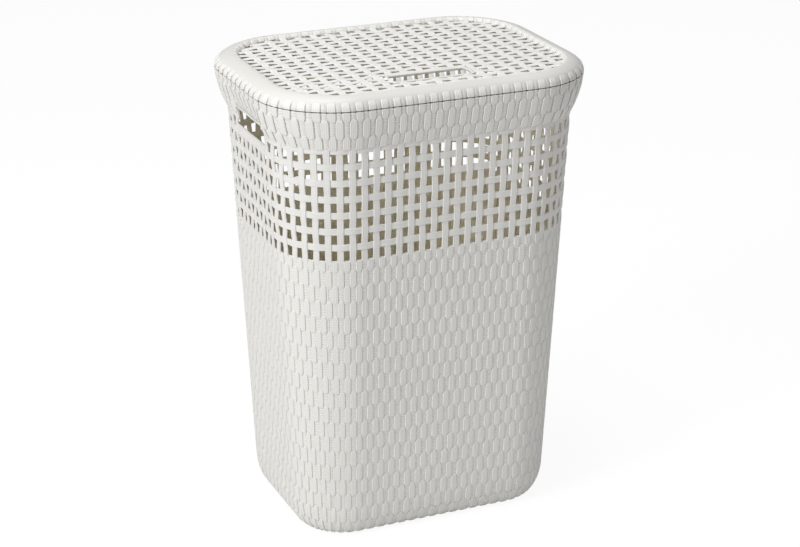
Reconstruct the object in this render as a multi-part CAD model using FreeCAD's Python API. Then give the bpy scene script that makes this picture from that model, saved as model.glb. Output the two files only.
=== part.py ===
"""Laundry hamper with a hinged lid, moulded in plastic with a woven look.

Frame: millimetres, +Z up, origin on the floor under the centre of the hamper.
The long sides face -Y (front, finger-slot side) and +Y (rear, hinge side).
"""
import FreeCAD, Part
import math
import os

Vector = FreeCAD.Vector

# --- driving dimensions -------------------------------------------------------------------
TOTAL_HEIGHT = 615.0
WALL = 1.8                       # moulded wall thickness

# Outer wall section, a rounded rectangle (half width, half depth, corner radius), which grows
# in a straight line from the floor to WALL_REFERENCE_Z.
WALL_AT_FLOOR = (179.5, 131.5, 72.0)
WALL_AT_TOP = (205.5, 155.0, 92.0)
WALL_REFERENCE_Z = 526.0

# Widest section, at the seam between basket and lid.
SEAM_SECTION = (222.0, 169.0, 105.0)
SEAM_Z = 598.0
SEAM_GAP = 0.6                   # air between the closed lid and the basket

# Heights of the zones of the basket.
FLOOR_THICKNESS = 2.6
EDGE_HEIGHT = 42.0               # the lower edge curves in below this height
EDGE_INSET = 22.0
BAND_BOTTOM_Z = 400.0            # closed weave below, open weave above
COLLAR_BOTTOM_Z = 546.0          # lower edge of the collar
COLLAR_LIP = 0.8                 # how far the collar's lower edge stands off the wall
COLLAR_TAPER = 1.65              # how late the collar starts to curl in below the seam
SKIRT = 2.0                      # wall of the collar
FLANGE = 2.2                     # flat top of the collar

# Open weave: windows between the strips.
COLUMN_PITCH = 15.7
ROW_PITCH = 21.28
WINDOW_WIDTH = 7.0
WINDOW_HEIGHT = 12.1
ROWS = 7
TOP_ROW_Z = 534.2                # centre of the highest row of windows
FRONT_COLUMNS = 12               # columns of windows on the flat front and rear panels
SIDE_COLUMNS = 6                 # columns on the flat side panels
CORNER_COLUMNS = 11              # columns round each corner

# Hand-holes, one in each short side just under the collar, nearer the front than the rear.
HAND_HOLE_FRONT_Y = -62.0
HAND_HOLE_REAR_Y = 37.0
HAND_HOLE_BOTTOM_Z = 533.0
HAND_HOLE_TOP_Z = 559.0
HAND_HOLE_RADIUS = 6.0
GRIP_WALL = 3.0                  # grip arch that closes the collar round a hand-hole

# Lid. Its panel sits a little nearer the front, so the rolled rim is narrower there.
PANEL_SECTION = (191.0, 143.5, 77.0)
PANEL_SHIFT_Y = -5.3
RIM_DOME_PART = 1.032            # half axis of the dome's profile, part of the rim's width
RIM_CREST_PART = 0.80            # crest of the rolled rim, part of its width from the seam
RIM_CREST_END_PART = 0.87
RIM_WALL = 2.0
PANEL_TOP_Z = 611.0
PANEL_THICKNESS = 2.4
PANEL_COLUMNS = 18
PANEL_ROWS = 19
PANEL_PITCH_X = 21.5
PANEL_PITCH_Y = 15.4
PANEL_WINDOW_X = 12.0
PANEL_WINDOW_Y = 6.8
PANEL_EDGE_MARGIN = 1.2          # solid border kept round the woven field

# Finger slot near the lid's front edge.
SLOT_CENTRE_Y = -100.5
SLOT_LENGTH = 106.0
SLOT_WIDTH = 23.0
SLOT_BORDER = 2.8
SLOT_BORDER_RISE = 1.4
SLOT_RADIUS = 3.0
GRILLE_BARS = 8
GRILLE_BAR_WIDTH = 7.4
GRILLE_BAR_THICKNESS = 2.4
GRILLE_DROP = 13.0               # how far the grille hangs below the panel

# Hinges at the rear, on the seam.
HINGE_X = 112.0
HINGE_AXIS_OFFSET = 5.6          # axis behind the seam's rear edge
HINGE_RADIUS = 4.6
PIN_RADIUS = 2.0
PIN_HEAD_RADIUS = 3.3
PIN_HEAD_LENGTH = 1.6
PIN_RUNNING_CLEARANCE = 0.08
KNUCKLE_LENGTH = 20.0
EAR_LENGTH = 6.0
HINGE_SIDE_GAP = 0.35
EAR_ROOT_Z = 583.0
EAR_SHOULDER_Z = 594.5

# --- derived values -----------------------------------------------------------------------
AXIS_Y = SEAM_SECTION[1] + HINGE_AXIS_OFFSET
AXIS_Z = SEAM_Z
BASKET_TOP_Z = SEAM_Z - SEAM_GAP
FLANGE_UNDER_Z = BASKET_TOP_Z - FLANGE
FRONT_PANEL_HALF = COLUMN_PITCH * FRONT_COLUMNS / 2
SIDE_PANEL_HALF = COLUMN_PITCH * SIDE_COLUMNS / 2
FAR = 600.0                      # reaches past the whole hamper


# --- sections -----------------------------------------------------------------------------
def grow(section, by):
    """A rounded-rectangle section offset outwards (or inwards, if negative)."""
    half_width, half_depth, radius = section
    return (half_width + by, half_depth + by, radius + by)


def wall_section(z):
    """Outer section of the basket wall at height z."""
    part = z / WALL_REFERENCE_Z
    return tuple(low + (high - low) * part for low, high in zip(WALL_AT_FLOOR, WALL_AT_TOP))


def collar_section(z):
    """Outer section of the collar: it tapers in from the seam, faster towards its lower edge."""
    drop = min(1.0, (SEAM_Z - z) / (SEAM_Z - COLLAR_BOTTOM_Z))
    swell = 1.0 - drop ** COLLAR_TAPER
    low = grow(wall_section(z), COLLAR_LIP)
    return tuple(near + (far - near) * swell for near, far in zip(low, SEAM_SECTION))


def edge_section(z):
    """Outer section of the curved lower edge: a quarter ellipse that meets the wall."""
    drop = 1.0 - z / EDGE_HEIGHT
    inset = EDGE_INSET * (1.0 - math.sqrt(1.0 - drop * drop))
    return grow(wall_section(z), -inset)


def rim_section(part):
    """Section of the lid's rim, part of the way in from the seam to the panel."""
    return tuple(seam + (panel - seam) * part for seam, panel in zip(SEAM_SECTION, PANEL_SECTION))


def rim_height(part):
    """Height of the rim's dome, which reaches the full height at the crest."""
    def arc(at):
        return math.sqrt(1.0 - (1.0 - at / RIM_DOME_PART) ** 2)
    return SEAM_Z + (TOTAL_HEIGHT - SEAM_Z) * arc(part) / arc(RIM_CREST_PART)


def ring_wire(section, z, shift=0.0):
    """Closed wire of a rounded rectangle at height z, always started at the same corner."""
    half_width, half_depth, radius = section
    diagonal = radius * math.sqrt(0.5)
    edges = []
    corners = ((1, -1), (1, 1), (-1, 1), (-1, -1))
    ends = []
    for sx, sy in corners:
        cx = sx * (half_width - radius)
        cy = sy * (half_depth - radius) + shift
        along_x = Vector(cx, cy + sy * radius, z)
        along_y = Vector(cx + sx * radius, cy, z)
        middle = Vector(cx + sx * diagonal, cy + sy * diagonal, z)
        ordered = (along_x, middle, along_y) if sx * sy < 0 else (along_y, middle, along_x)
        ends.append(ordered)
    for index, (start, middle, end) in enumerate(ends):
        edges.append(Part.Arc(start, middle, end).toShape())
        following = ends[(index + 1) % 4][0]
        edges.append(Part.LineSegment(end, following).toShape())
    return Part.Wire(edges)


def loft(levels):
    """Solid through (section, z) or (section, z, shift) levels, with straight walls."""
    return Part.makeLoft([ring_wire(*level) for level in levels], True, True)


def straight_block(section, z_low, z_high, shift=0.0):
    """Upright prism of one section."""
    face = Part.Face(ring_wire(section, z_low, shift))
    return face.extrude(Vector(0, 0, z_high - z_low))


def face_with_holes(wires):
    """Flat face bounded by the outermost wire, open inside the others."""
    return Part.makeFace(wires, "Part::FaceMakerBullseye")


def box(x_low, x_high, y_low, y_high, z_low, z_high):
    """Axis-aligned box from its limits."""
    corner = Vector(x_low, y_low, z_low)
    return Part.makeBox(x_high - x_low, y_high - y_low, z_high - z_low, corner)


def mirrored_x(shape):
    return shape.mirror(Vector(0, 0, 0), Vector(1, 0, 0))


def mirrored_y(shape):
    return shape.mirror(Vector(0, 0, 0), Vector(0, 1, 0))


def hand_hole_prism(grow_by=0.0):
    """Rounded prism along X that cuts both hand-holes at once."""
    front = HAND_HOLE_FRONT_Y - grow_by
    rear = HAND_HOLE_REAR_Y + grow_by
    radius = HAND_HOLE_RADIUS + grow_by
    low = HAND_HOLE_BOTTOM_Z - grow_by
    high = HAND_HOLE_TOP_Z + grow_by
    prism = box(-FAR, FAR, front, rear, low, high)
    long_edges = [edge for edge in prism.Edges if abs(edge.Length - 2 * FAR) < 0.01]
    return prism.makeFillet(radius, long_edges)


# --- basket -------------------------------------------------------------------------------
def wall_ring(z_low, z_high):
    """Plain length of the tapered wall."""
    outer = loft([(wall_section(z), z) for z in (z_low, z_high)])
    inner = loft([(grow(wall_section(z), -WALL), z) for z in (z_low, z_high)])
    return outer.cut(inner)


def edge_levels(offset, z_low):
    """Levels of the curved lower edge, closer together near the floor."""
    steps = 6
    levels = []
    for index in range(steps + 1):
        z = z_low + (EDGE_HEIGHT - z_low) * (index / steps) ** 2
        levels.append((grow(edge_section(z), offset), z))
    return levels


def base_edge():
    """Curved lower edge of the hamper, open in the middle for the floor."""
    shell = loft(edge_levels(0.0, 0.0)).cut(loft(edge_levels(-WALL, FLOOR_THICKNESS)))
    return shell.cut(straight_block(floor_section(), 0.0, FLOOR_THICKNESS))


def floor_section():
    return grow(wall_section(0.0), -EDGE_INSET - 6.0)


def base_floor():
    """Flat floor plate."""
    return straight_block(floor_section(), 0.0, FLOOR_THICKNESS)


def closed_weave_wall():
    """Closed lower wall, from the curved edge to the open band."""
    return wall_ring(EDGE_HEIGHT, BAND_BOTTOM_Z)


def row_heights():
    return [TOP_ROW_Z - ROW_PITCH * row for row in range(ROWS)]


def flat_grille(columns, half_depth_at, rows):
    """Flat open-weave panel facing -Y, with a grid of windows, cut level top and bottom."""
    half = COLUMN_PITCH * columns / 2

    def loop(x_low, x_high, z_low, z_high):
        corners = [(x_low, z_low), (x_high, z_low), (x_high, z_high), (x_low, z_high)]
        points = [Vector(x, -half_depth_at(z), z) for x, z in corners]
        return Part.makePolygon(points + points[:1])

    outline = loop(-half, half, BAND_BOTTOM_Z, COLLAR_BOTTOM_Z)
    windows = []
    for z in rows:
        for column in range(columns):
            x = (column + 0.5) * COLUMN_PITCH - half
            x_low = x - WINDOW_WIDTH / 2
            z_low = z - WINDOW_HEIGHT / 2
            windows.append(loop(x_low, x_low + WINDOW_WIDTH, z_low, z_low + WINDOW_HEIGHT))
    face = face_with_holes([outline] + windows)
    return face.extrude(Vector(0, WALL, 0))


def front_grille():
    return flat_grille(FRONT_COLUMNS, lambda z: wall_section(z)[1], row_heights())


def right_grille():
    """Side panel: no windows in the rail right under the hand-hole."""
    panel = flat_grille(SIDE_COLUMNS, lambda z: wall_section(z)[0], row_heights()[1:])
    panel.rotate(Vector(0, 0, 0), Vector(0, 0, 1), 90)
    return panel.cut(hand_hole_prism())


def corner_point(part, z):
    """Point and outward direction on the wall at a part (0 to 1) of a front-right corner.

    The corner piece runs from the edge of the front panel to the edge of the side panel.
    """
    half_width, half_depth, radius = wall_section(z)
    front_run = half_width - radius - FRONT_PANEL_HALF
    side_run = half_depth - radius - SIDE_PANEL_HALF
    arc = radius * math.pi / 2
    travel = part * (front_run + arc + side_run)
    if travel < front_run:
        return Vector(FRONT_PANEL_HALF + travel, -half_depth, z), Vector(0, -1, 0)
    if travel > front_run + arc:
        left = front_run + arc + side_run - travel
        return Vector(half_width, -SIDE_PANEL_HALF - left, z), Vector(1, 0, 0)
    angle = (travel - front_run) / radius - math.pi / 2
    out = Vector(math.cos(angle), math.sin(angle), 0)
    centre = Vector(half_width - radius, -(half_depth - radius), z)
    return centre + out * radius, out


def corner_grille(solid_rail_to):
    """Front-right corner of the open band, with windows that face outwards.

    The highest row has no windows between the side panel and solid_rail_to.
    """
    block = box(FRONT_PANEL_HALF, FAR, -FAR, -SIDE_PANEL_HALF, BAND_BOTTOM_Z, COLLAR_BOTTOM_Z)
    shell = wall_ring(BAND_BOTTOM_Z, COLLAR_BOTTOM_Z).common(block)
    cutters = []
    reach = 6 * WALL
    for z in row_heights():
        for column in range(CORNER_COLUMNS):
            point, out = corner_point((column + 0.5) / CORNER_COLUMNS, z)
            if z == TOP_ROW_Z and point.y > solid_rail_to:
                continue
            cutter = box(-reach, reach, -WINDOW_WIDTH / 2, WINDOW_WIDTH / 2,
                         -WINDOW_HEIGHT / 2, WINDOW_HEIGHT / 2)
            heading = math.degrees(math.atan2(out.y, out.x))
            cutter.rotate(Vector(0, 0, 0), Vector(0, 0, 1), heading)
            cutter.translate(point)
            cutters.append(cutter)
    return shell.cut(Part.makeCompound(cutters))


def mouth_wall():
    """Upper wall hidden behind the collar, open at the hand-holes."""
    return wall_ring(COLLAR_BOTTOM_Z, FLANGE_UNDER_Z).cut(hand_hole_prism())


def collar_levels(offset, z_high):
    """Levels of the collar's profile, closer together where it curls in below."""
    steps = 7
    levels = []
    for index in range(steps + 1):
        z = COLLAR_BOTTOM_Z + (z_high - COLLAR_BOTTOM_Z) * (index / steps) ** 1.6
        levels.append((grow(collar_section(z), offset), z))
    return levels


def collar_outer_block():
    return loft(collar_levels(0.0, BASKET_TOP_Z))


def wall_outer_block():
    """Everything inside the outer face of the wall behind the collar."""
    return loft([(wall_section(z), z) for z in (COLLAR_BOTTOM_Z, FLANGE_UNDER_Z)])


def collar():
    """Rolled collar: a skirt that swells outwards and a flat flange that the lid lies on.

    Its lower edge lies against the wall.
    """
    shell = collar_outer_block().cut(loft(collar_levels(-SKIRT, FLANGE_UNDER_Z)))
    mouth = grow(wall_section(FLANGE_UNDER_Z), -WALL)
    shell = shell.cut(straight_block(mouth, FLANGE_UNDER_Z - 1.0, BASKET_TOP_Z + 1.0))
    return shell.cut(wall_outer_block()).cut(hand_hole_prism())


def right_hand_grip():
    """Arch that joins the collar to the wall round the right hand-hole."""
    arch = hand_hole_prism(GRIP_WALL).cut(hand_hole_prism())
    between = loft(collar_levels(-SKIRT, FLANGE_UNDER_Z))
    ring = between.cut(wall_outer_block())
    side = box(0, FAR, -FAR, FAR, COLLAR_BOTTOM_Z, FLANGE_UNDER_Z)
    return ring.common(arch).common(side)


# --- hinges -------------------------------------------------------------------------------
def cylinder_x(radius, x_low, x_high):
    """Cylinder on the hinge axis."""
    start = Vector(x_low, AXIS_Y, AXIS_Z)
    return Part.makeCylinder(radius, x_high - x_low, start, Vector(1, 0, 0))


def prism_x(profile, x_low, x_high):
    """Prism along X from a (y, z) outline."""
    points = [Vector(x_low, y, z) for y, z in profile]
    face = Part.Face(Part.makePolygon(points + points[:1]))
    return face.extrude(Vector(x_high - x_low, 0, 0))


def hinge_bracket(centre_x):
    """Two ears and the pad that joins them, on the back of the collar."""
    back = AXIS_Y + HINGE_RADIUS
    front = AXIS_Y - HINGE_RADIUS
    root = AXIS_Y - 20.0
    ear_profile = [(root, EAR_ROOT_Z), (AXIS_Y - 2.0, EAR_ROOT_Z), (back, AXIS_Z - 6.0),
                   (back, AXIS_Z), (front, AXIS_Z), (front, EAR_SHOULDER_Z),
                   (root, EAR_SHOULDER_Z)]
    pad_profile = [(root, EAR_ROOT_Z), (AXIS_Y - 2.0, EAR_ROOT_Z), (AXIS_Y - 2.0, EAR_ROOT_Z + 5.0),
                   (root, EAR_ROOT_Z + 5.0)]
    inner = KNUCKLE_LENGTH / 2 + HINGE_SIDE_GAP
    outer = inner + EAR_LENGTH
    bracket = prism_x(pad_profile, centre_x - outer, centre_x + outer)
    for side in (-1, 1):
        low, high = sorted((centre_x + side * inner, centre_x + side * outer))
        ear = prism_x(ear_profile, low, high).fuse(cylinder_x(HINGE_RADIUS, low, high))
        bracket = bracket.fuse(ear)
    bracket = bracket.removeSplitter().cut(cylinder_x(PIN_RADIUS, centre_x - outer, centre_x + outer))
    return bracket.cut(collar_outer_block())


def hinge_pin(centre_x):
    """Pin through the ears, with a flat head at each end."""
    half = KNUCKLE_LENGTH / 2 + HINGE_SIDE_GAP + EAR_LENGTH
    pin = cylinder_x(PIN_RADIUS, centre_x - half, centre_x + half)
    for side in (-1, 1):
        low, high = sorted((centre_x + side * half, centre_x + side * (half + PIN_HEAD_LENGTH)))
        pin = pin.fuse(cylinder_x(PIN_HEAD_RADIUS, low, high))
    return pin.removeSplitter()


def lid_knuckle(centre_x):
    """Knuckle on the lid that turns on the pin."""
    low = centre_x - KNUCKLE_LENGTH / 2
    high = centre_x + KNUCKLE_LENGTH / 2
    arm_profile = [(AXIS_Y - 20.0, AXIS_Z + 0.4), (AXIS_Y, AXIS_Z + 0.4),
                   (AXIS_Y, AXIS_Z + HINGE_RADIUS), (AXIS_Y - 20.0, AXIS_Z + HINGE_RADIUS + 6.0)]
    knuckle = prism_x(arm_profile, low, high).fuse(cylinder_x(HINGE_RADIUS, low, high))
    bore = cylinder_x(PIN_RADIUS + PIN_RUNNING_CLEARANCE, low, high)
    return knuckle.removeSplitter().cut(bore).cut(rim_outer_block())


# --- lid ----------------------------------------------------------------------------------
def rim_levels(wall):
    """Levels of the rim's dome, from the seam to the crest, set in by a wall thickness."""
    levels = []
    for share in (0.0, 0.03, 0.10, 0.225, 0.42, 0.68, 1.0):
        part = share * RIM_CREST_PART
        z = rim_height(part)
        climbed = (z - SEAM_Z) / (TOTAL_HEIGHT - SEAM_Z)
        section = grow(rim_section(part), -wall * (1.0 - climbed))
        levels.append((section, z - wall * climbed, PANEL_SHIFT_Y * part))
    return levels


def rim_outer_block():
    return loft(rim_levels(0.0))


def lid_rim():
    """Rolled rim of the lid, hollow underneath, with a foot that carries the panel."""
    foot = PANEL_SECTION
    crest = rim_section(RIM_CREST_END_PART)
    crest_shift = PANEL_SHIFT_Y * RIM_CREST_END_PART
    recess = loft([(foot, PANEL_TOP_Z, PANEL_SHIFT_Y), (crest, TOTAL_HEIGHT + 0.01, crest_shift)])
    panel_hole = straight_block(foot, SEAM_Z - 1.0, TOTAL_HEIGHT, PANEL_SHIFT_Y)
    foot_outer = grow(foot, RIM_WALL)
    kept_foot = straight_block(foot_outer, SEAM_Z - 1.0, TOTAL_HEIGHT, PANEL_SHIFT_Y)
    shoulder = (foot_outer, PANEL_TOP_Z - RIM_WALL * 0.4, PANEL_SHIFT_Y)
    roof = (grow(crest, RIM_WALL), TOTAL_HEIGHT - RIM_WALL, crest_shift)
    hollow = loft(rim_levels(RIM_WALL)).cut(kept_foot).cut(loft([shoulder, roof]))
    return rim_outer_block().cut(recess).cut(panel_hole).cut(hollow)


def inside_section(x, y, section):
    """True where a point lies inside a rounded rectangle."""
    half_width, half_depth, radius = section
    over_x = max(abs(x) - (half_width - radius), 0.0)
    over_y = max(abs(y) - (half_depth - radius), 0.0)
    return abs(x) <= half_width and abs(y) <= half_depth and math.hypot(over_x, over_y) <= radius


def slot_section(border):
    """Finger-slot outline, grown by a border."""
    return (SLOT_LENGTH / 2 + border, SLOT_WIDTH / 2 + border, SLOT_RADIUS + border)


def slot_wire(border, z):
    return ring_wire(slot_section(border), z, SLOT_CENTRE_Y)


def panel_windows():
    """Centres of the lid's windows: the ones that fit, clear of the finger slot."""
    field = grow(PANEL_SECTION, -PANEL_EDGE_MARGIN)
    clear = slot_section(SLOT_BORDER + 0.3)
    centres = []
    for row in range(PANEL_ROWS):
        y = (row - (PANEL_ROWS - 1) / 2) * PANEL_PITCH_Y + PANEL_SHIFT_Y
        for column in range(PANEL_COLUMNS):
            x = (column - (PANEL_COLUMNS - 1) / 2) * PANEL_PITCH_X
            corner_x = abs(x) + PANEL_WINDOW_X / 2
            corner_y = abs(y - PANEL_SHIFT_Y) + PANEL_WINDOW_Y / 2
            near_x = abs(x) - PANEL_WINDOW_X / 2
            near_y = abs(y - SLOT_CENTRE_Y) - PANEL_WINDOW_Y / 2
            beside_slot = near_x > clear[0] or near_y > clear[1]
            if inside_section(corner_x, corner_y, field) and beside_slot:
                centres.append((x, y))
    return centres


def lid_panel():
    """Woven field of the lid with its windows and the seat of the finger slot."""
    bottom = PANEL_TOP_Z - PANEL_THICKNESS
    outline = ring_wire(PANEL_SECTION, bottom, PANEL_SHIFT_Y)
    wires = [outline, slot_wire(SLOT_BORDER - 1.0, bottom)]
    for x, y in panel_windows():
        low_x = x - PANEL_WINDOW_X / 2
        low_y = y - PANEL_WINDOW_Y / 2
        corners = [(low_x, low_y), (low_x + PANEL_WINDOW_X, low_y),
                   (low_x + PANEL_WINDOW_X, low_y + PANEL_WINDOW_Y), (low_x, low_y + PANEL_WINDOW_Y)]
        points = [Vector(px, py, bottom) for px, py in corners]
        wires.append(Part.makePolygon(points + points[:1]))
    return face_with_holes(wires).extrude(Vector(0, 0, PANEL_THICKNESS))


def finger_slot_frame():
    """Raised border of the finger slot, seated in the panel."""
    bottom = PANEL_TOP_Z - PANEL_THICKNESS
    inner = slot_wire(0.0, bottom)
    collar_ring = face_with_holes([slot_wire(SLOT_BORDER - 1.0, bottom), inner])
    frame = collar_ring.extrude(Vector(0, 0, PANEL_THICKNESS))
    cap = face_with_holes([slot_wire(SLOT_BORDER, PANEL_TOP_Z), slot_wire(0.0, PANEL_TOP_Z)])
    cap = cap.extrude(Vector(0, 0, SLOT_BORDER_RISE))
    return frame.fuse(cap).removeSplitter()


def slot_grille():
    """Row of upright bars that hangs under the slot's rear edge, with a rail along its foot."""
    top = PANEL_TOP_Z - PANEL_THICKNESS
    front = SLOT_CENTRE_Y + SLOT_WIDTH / 2
    back = front + GRILLE_BAR_THICKNESS
    length = SLOT_LENGTH
    pitch = (length - GRILLE_BAR_WIDTH) / (GRILLE_BARS - 1)
    foot = top - GRILLE_DROP
    grille = box(-length / 2, length / 2, front, back, foot, foot + GRILLE_BAR_THICKNESS)
    for index in range(GRILLE_BARS):
        low = -length / 2 + pitch * index
        bar = box(low, low + GRILLE_BAR_WIDTH, front, back, foot, top)
        grille = grille.fuse(bar)
    return grille.removeSplitter()


# --- assembly -----------------------------------------------------------------------------
def build_parts():
    """Every sub-part by name."""
    front = front_grille()
    right = right_grille()
    rear_corner = corner_grille(0.0)
    front_corner = corner_grille(HAND_HOLE_FRONT_Y - WINDOW_WIDTH).cut(hand_hole_prism())
    grip = right_hand_grip()
    parts = {
        "base_floor": base_floor(),
        "base_edge": base_edge(),
        "closed_weave_wall": closed_weave_wall(),
        "open_weave_front": front,
        "open_weave_rear": mirrored_y(front),
        "open_weave_right": right,
        "open_weave_left": mirrored_x(right),
        "open_weave_corner_front_right": front_corner,
        "open_weave_corner_front_left": mirrored_x(front_corner),
        "open_weave_corner_rear_right": mirrored_y(rear_corner),
        "open_weave_corner_rear_left": mirrored_y(mirrored_x(rear_corner)),
        "mouth_wall": mouth_wall(),
        "collar": collar(),
        "hand_grip_right": grip,
        "hand_grip_left": mirrored_x(grip),
        "lid_rim": lid_rim(),
        "lid_panel": lid_panel(),
        "finger_slot_frame": finger_slot_frame(),
        "finger_slot_grille": slot_grille(),
    }
    for side, centre_x in (("left", -HINGE_X), ("right", HINGE_X)):
        parts["hinge_bracket_" + side] = hinge_bracket(centre_x)
        parts["hinge_pin_" + side] = hinge_pin(centre_x)
        parts["lid_knuckle_" + side] = lid_knuckle(centre_x)
    return parts


def main():
    os.makedirs("parts", exist_ok=True)
    for name, shape in build_parts().items():
        solids = shape.Solids
        if not solids or not shape.isValid():
            raise ValueError("bad shape: " + name)
        kept = solids[0] if len(solids) == 1 else Part.makeCompound(solids)
        kept.exportStep("parts/" + name + ".step")
        bounds = kept.BoundBox
        size = "%.1f x %.1f x %.1f" % (bounds.XLength, bounds.YLength, bounds.ZLength)
        print(name, len(solids), "solid(s)", size, "volume", round(kept.Volume / 1000.0, 1), "cm3")


main()
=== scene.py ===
"""Laundry hamper with a hinged lid, moulded in pale plastic with a woven look.

The strips, bars, collar and lid are modelled round the fixed frame of the part, in metres.
"""

import math

import bmesh
import bpy
import numpy as np
from bpy.props import FloatProperty, FloatVectorProperty, PointerProperty
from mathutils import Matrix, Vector


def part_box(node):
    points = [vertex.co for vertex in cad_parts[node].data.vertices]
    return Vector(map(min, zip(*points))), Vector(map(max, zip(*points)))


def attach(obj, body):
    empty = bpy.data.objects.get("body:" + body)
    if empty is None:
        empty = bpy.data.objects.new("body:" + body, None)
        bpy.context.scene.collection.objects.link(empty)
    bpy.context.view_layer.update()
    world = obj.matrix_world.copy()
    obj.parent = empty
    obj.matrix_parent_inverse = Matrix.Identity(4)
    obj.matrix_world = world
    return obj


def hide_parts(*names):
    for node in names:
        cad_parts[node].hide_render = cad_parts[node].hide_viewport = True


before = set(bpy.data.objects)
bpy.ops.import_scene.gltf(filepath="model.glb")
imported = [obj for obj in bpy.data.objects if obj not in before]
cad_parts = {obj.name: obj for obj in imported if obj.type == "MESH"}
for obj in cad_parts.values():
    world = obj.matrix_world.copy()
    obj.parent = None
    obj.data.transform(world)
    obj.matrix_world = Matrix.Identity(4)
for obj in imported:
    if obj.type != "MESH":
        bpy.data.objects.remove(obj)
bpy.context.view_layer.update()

bl_info = {
    "name": "Woven Laundry Hamper",
    "version": (1, 0, 0),
    "blender": (4, 5, 0),
    "location": "View3D > Sidebar > Hamper",
    "description": "Builds a lidded laundry hamper in woven-look plastic",
    "category": "Add Mesh",
}

MM = 0.001

# Outlines are rounded rectangles: half width, half depth, corner radius.
WALL_AT_FLOOR = np.array((179.5, 131.5, 72.0)) * MM
WALL_AT_TOP = np.array((205.5, 155.0, 92.0)) * MM
WALL_TOP_Z = 526 * MM
SEAM = np.array((222.0, 169.0, 105.0)) * MM
SEAM_Z = 598 * MM
BASKET_TOP_Z = 597.4 * MM
EDGE_HEIGHT = 42 * MM            # the lower edge curves in below this height
EDGE_INSET = 22 * MM
COLLAR_Z = 546 * MM              # lower edge of the collar
COLLAR_LIP = 0.8 * MM
COLLAR_TAPER = 1.65              # how late the collar starts to curl in below the seam
CREST_Z = 615 * MM
PANEL = np.array((191.0, 143.5, 77.0)) * MM
PANEL_SHIFT = -5.3 * MM          # the lid's panel sits nearer the front
PANEL_Z = 611 * MM
DOME_PART = 1.032                # half axis of the dome's profile, part of the rim's width
CREST_PART = 0.80                # the crest, part of the rim's width from the seam
CREST_END_PART = 0.87

# The lattice: columns are counted round the hamper from the middle of the front.
COLUMNS = 80
QUARTER = 20
EVEN_COLUMNS = 6                 # columns that keep their pitch beside the middle of a long side
BEND_COLUMNS = 12                # the next ones, round the corner, which take up the difference
COLUMN_STEPS = 8                 # mesh steps of a sheet in a column
ROW_STEPS = 6                    # mesh steps of a sheet in a row
BAR_STEPS = 6                    # mesh steps of a bar in a column
ROW_PITCH = 21.28 * MM
TOP_BAR_Z = 544.8 * MM           # centre of the bar under the collar
OPEN_BARS = 7                    # bars of the open band, from the collar down
BAR_DEPTH = 1.25 * MM            # how far inside the wall's skin the bars lie
BAND_ROWS = 19                   # rows in the height of the closed weave
BAND_LINES = 117.0               # fine lines in the level bands, from the floor up
COLLAR_LINES = 20.0              # the same, from the collar's lower edge to its inner edge
RIB_LINES = 14.0                 # fine lines round the section of a strip
CLOSED_TOP_Z = 399.5 * MM        # top of the closed weave

HAND_HOLE_HALF = 3.12            # half length of a hand-hole, in columns
HAND_HOLE_LOW = 533 * MM
HAND_HOLE_TOP = 559 * MM
HAND_HOLE_MIDDLES = (19.21, 60.79)   # columns in the middle of the two hand-holes
RAIL_Z = 528.4 * MM              # centre of the rail under a hand-hole
RAIL_HALF = 5.0 * MM
RAIL_REACH = 0.4                 # columns by which the rail is longer at each end
RAIL_STEPS = 40

# Upright strips stay up over the top edge of the closed weave and dive just below it.
EDGE_DIVE = (np.array((-10.0, -5.0, 5.0, 11.0)) * MM, (-1.0, 0.3, 0.3, -1.0))
STRIP_DEPTH = 0.45 * MM          # how far inside the skin the middle of a strip on top lies
STRIP_TAPER = ((0.40, 0.60, 0.70), (1.0, 0.46, 0.34))   # width by rows from a float's middle
CLOSED_BEND = 0.26               # rows that a strip takes to dive in the closed weave
OPEN_BEND = 0.6                  # and in the open band
BEND_SHIFT = 0.035               # rows by which the dives of the closed weave lie off centre

# Walls of the sheets behind the strips.
BAND_THICKNESS = 0.9 * MM
COLLAR_THICKNESS = 1.4 * MM
RIM_THICKNESS = 1.8 * MM

# Raised floats of the collar and the lid's rim. A row of the collar has its name, its shift
# along the columns, its two heights in millimetres, and which of its two ends narrow.
COLLAR_FLOATS = (
    ("low", 0.5, 546.5, 564.5, (0, 1)),
    ("middle", 0.0, 560.0, 588.0, (1, 1)),
    ("high", 0.5, 584.0, 597.0, (1, 0)),
)
FLOAT_COLUMNS = 0.57             # width, in columns
FLOAT_STEPS = 20
FLOAT_TIP = 5 * MM               # length of an end that narrows
FLOAT_NARROWING = 0.34           # part of the width that it loses
FLOAT_DIVE = 1.2 * MM            # how far it sinks
FLOAT_HALF = 0.85 * MM           # half of a float's thickness

# Lid panel.
PANEL_PITCH_X = 21.5 * MM
PANEL_PITCH_Y = 15.4 * MM
PANEL_DEPTH = 1.2 * MM           # middle of the panel's strips, below its top
PANEL_RELIEF = 0.6 * MM
PANEL_HALF = 0.75 * MM           # half of a panel strip's thickness
PANEL_STEPS = 5                  # mesh steps of a panel strip between two crossings
SLOT_Y = -99.7 * MM
SLOT_HALF = (53 * MM, 13.0 * MM)
SLOT_BORDER = 3.0 * MM
SLOT_RADIUS = 3 * MM
SLOT_REACH = 14.2 * MM           # strips stop this far from the slot's middle, under its border
GRILLE_BARS = 8
GRILLE_BAR_WIDTH = 6.9 * MM
GRILLE_PITCH = 14.8 * MM
GRILLE_THICKNESS = 1.6 * MM
GRILLE_LEAN = 0.6                # how far the bars lean forwards, part of their drop

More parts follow.
